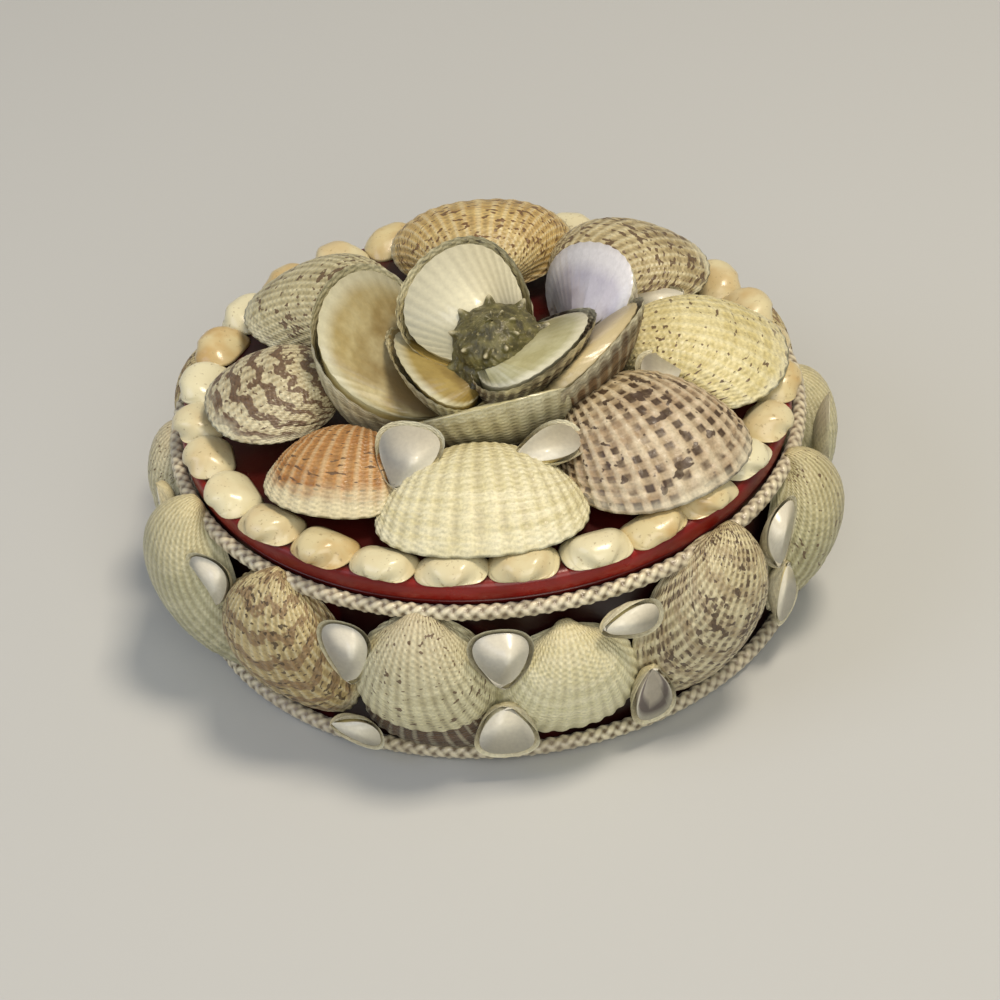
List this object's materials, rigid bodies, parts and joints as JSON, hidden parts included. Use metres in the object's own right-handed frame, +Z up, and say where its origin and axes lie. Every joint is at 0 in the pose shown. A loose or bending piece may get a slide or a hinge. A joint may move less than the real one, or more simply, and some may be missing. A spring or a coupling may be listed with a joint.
{
  "type": "shell trinket box",
  "caption": "Round lidded trinket box covered in glued sea shells, with cord round its rims and an open shell rosette on the lift-off lid.",
  "frame": {"origin": "middle of the flat underside that the box stands on", "axes": "+Z up through the lid, -Y out of the front of the box"},
  "size_m": [0.1346, 0.135, 0.0656],
  "materials": {
    "red_card": "smooth dark red covering, satin",
    "cord": "twisted cream satin braid",
    "edge_shells": "smooth polished cream shell",
    "open_valves": "glossy inside of a shell",
    "small_valves": "smooth glossy shell, grey stains",
    "cockles": "ribbed chalky shell, speckled brown",
    "snail": "knobbly grey green shell"
  },
  "bodies": {
    "root": {"box_base": "red_card", "lid": "red_card", "cord_top": "cord", "cord_bottom": "cord", "border_shells": "edge_shells", "snail": "snail", "petal_inner_left": "open_valves", "petal_inner_right": "open_valves", "petal_inner_back": "open_valves", "petal_back_right": "open_valves", "petal_left": "open_valves", "petal_right": "open_valves", "petal_front": "open_valves", "lid_clam_left": "small_valves", "lid_clam_front": "small_valves", "lid_clam_right": "small_valves", "lid_clam_back": "small_valves", "side_clam_1": "small_valves", "side_clam_2": "small_valves", "side_clam_3": "small_valves", "side_clam_4": "small_valves", "side_clam_5": "small_valves", "side_clam_6": "small_valves", "side_clam_7": "small_valves", "side_clam_8": "small_valves", "side_clam_9": "small_valves", "side_clam_10": "small_valves", "side_clam_11": "small_valves", "side_clam_12": "small_valves", "side_clam_13": "small_valves", "side_clam_14": "small_valves", "side_clam_15": "small_valves", "side_clam_16": "small_valves", "side_clam_17": "small_valves", "side_clam_18": "small_valves", "lid_shell_front": "cockles", "lid_shell_front_right": "cockles", "lid_shell_front_left": "cockles", "lid_shell_right": "cockles", "lid_shell_left": "cockles", "lid_shell_back_right": "cockles", "lid_shell_back_left": "cockles", "lid_shell_back": "cockles", "side_shell_1": "cockles", "side_shell_2": "cockles", "side_shell_3": "cockles", "side_shell_4": "cockles", "side_shell_5": "cockles", "side_shell_6": "cockles", "side_shell_7": "cockles", "side_shell_8": "cockles", "side_shell_9": "cockles", "side_shell_10": "cockles", "side_shell_11": "cockles", "side_shell_12": "cockles", "side_shell_13": "cockles", "side_shell_14": "cockles", "side_shell_15": "cockles"}
  },
  "joints": []
}
